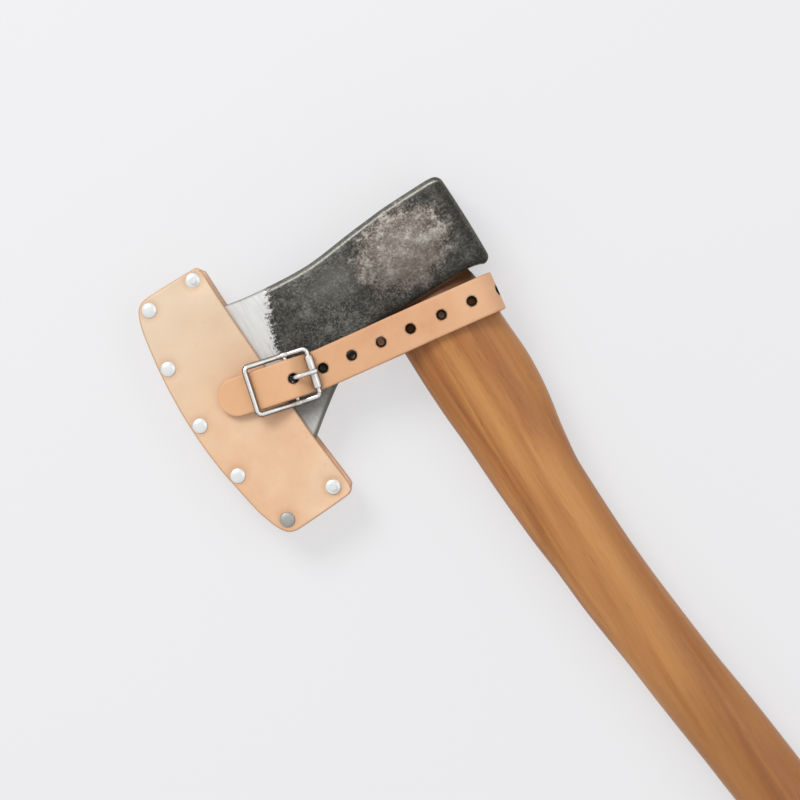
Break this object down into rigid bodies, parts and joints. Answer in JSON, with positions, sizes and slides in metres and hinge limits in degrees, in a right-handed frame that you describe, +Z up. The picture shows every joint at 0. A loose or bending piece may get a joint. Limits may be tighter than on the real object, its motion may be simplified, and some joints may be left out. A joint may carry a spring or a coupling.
{
  "type": "hatchet",
  "caption": "Forest hatchet with a forged steel head on a curved wooden haft, its edge in a riveted leather sheath held by a buckled strap.",
  "frame": {"origin": "middle of the footprint at floor level, with the hatchet lying on its side", "axes": "+Y along the haft from the knob to the head, +X from the cutting edge to the poll, +Z up through the thickness"},
  "size_m": [0.1612, 0.4304, 0.0333],
  "materials": {
    "head_steel": "forged black scale, ground satin bevel",
    "haft_wood": "oiled satin",
    "wedge_wood": "end grain, matt",
    "ring_steel": "satin",
    "sheath_leather": "natural, smooth, satin",
    "welt_leather": "burnished edge",
    "strap_leather": "natural, smooth, satin",
    "rivet_nickel": "nickel plated",
    "buckle_nickel": "nickel plated"
  },
  "bodies": {
    "axe": {"head": "head_steel", "haft": "haft_wood", "eye_wedge": "wedge_wood", "ring_wedge": "ring_steel"},
    "sheath": {"sheath_front_panel": "sheath_leather", "sheath_back_panel": "sheath_leather", "sheath_welt": "welt_leather", "sheath_rivet_caps": "rivet_nickel", "sheath_rivet_posts": "rivet_nickel", "buckle_tab": "strap_leather", "tab_rivet": "rivet_nickel", "strap_back_run": "strap_leather", "strap_rivets": "rivet_nickel"},
    "strap_bend": {"strap_wrap": "strap_leather"},
    "strap_end": {"strap_front_run": "strap_leather"},
    "buckle": {"buckle_frame": "buckle_nickel", "buckle_centre_bar": "buckle_nickel"},
    "tongue": {"buckle_tongue": "buckle_nickel"},
    "roller": {"buckle_roller": "buckle_nickel"}
  },
  "joints": [
    {"name": "sheath_slide", "type": "slide", "parent": "axe", "child": "sheath", "axis": [-1, 0, 0], "range_m": [0, 0.07]},
    {"name": "strap_lower_bend", "type": "hinge", "parent": "sheath", "child": "strap_bend", "pos_m": [0.06757, 0.1344, 0.00324], "axis": [0.1392, 0.9903, 0], "range_deg": [0, 90.2], "deforming": ["strap_wrap"]},
    {"name": "strap_upper_bend", "type": "hinge", "parent": "strap_bend", "child": "strap_end", "pos_m": [0.06757, 0.1344, 0.02876], "axis": [0.1392, 0.9903, 0], "range_deg": [0, 90.2], "deforming": ["strap_front_run"]},
    {"name": "buckle_swing", "type": "hinge", "parent": "sheath", "child": "buckle", "pos_m": [-0.02987, 0.14935, 0.0255], "axis": [0.2419, 0.9703, 0], "range_deg": [0, 34.5]},
    {"name": "tongue_lift", "type": "hinge", "parent": "buckle", "child": "tongue", "pos_m": [-0.02987, 0.14935, 0.0255], "axis": [-0.2419, -0.9703, 0], "range_deg": [0, 80.3]},
    {"name": "roller_spin", "type": "hinge", "parent": "buckle", "child": "roller", "pos_m": [-0.01978, 0.14683, 0.0269], "axis": [0.2419, 0.9703, 0], "continuous": true}
  ],
  "couplings": [
    {"joint": "strap_lower_bend", "follows": "sheath_slide", "rad_per_m": 22.44},
    {"joint": "strap_upper_bend", "follows": "sheath_slide", "rad_per_m": 22.44},
    {"joint": "buckle_swing", "follows": "sheath_slide", "rad_per_m": 8.5714},
    {"joint": "tongue_lift", "follows": "sheath_slide", "rad_per_m": 19.943}
  ]
}
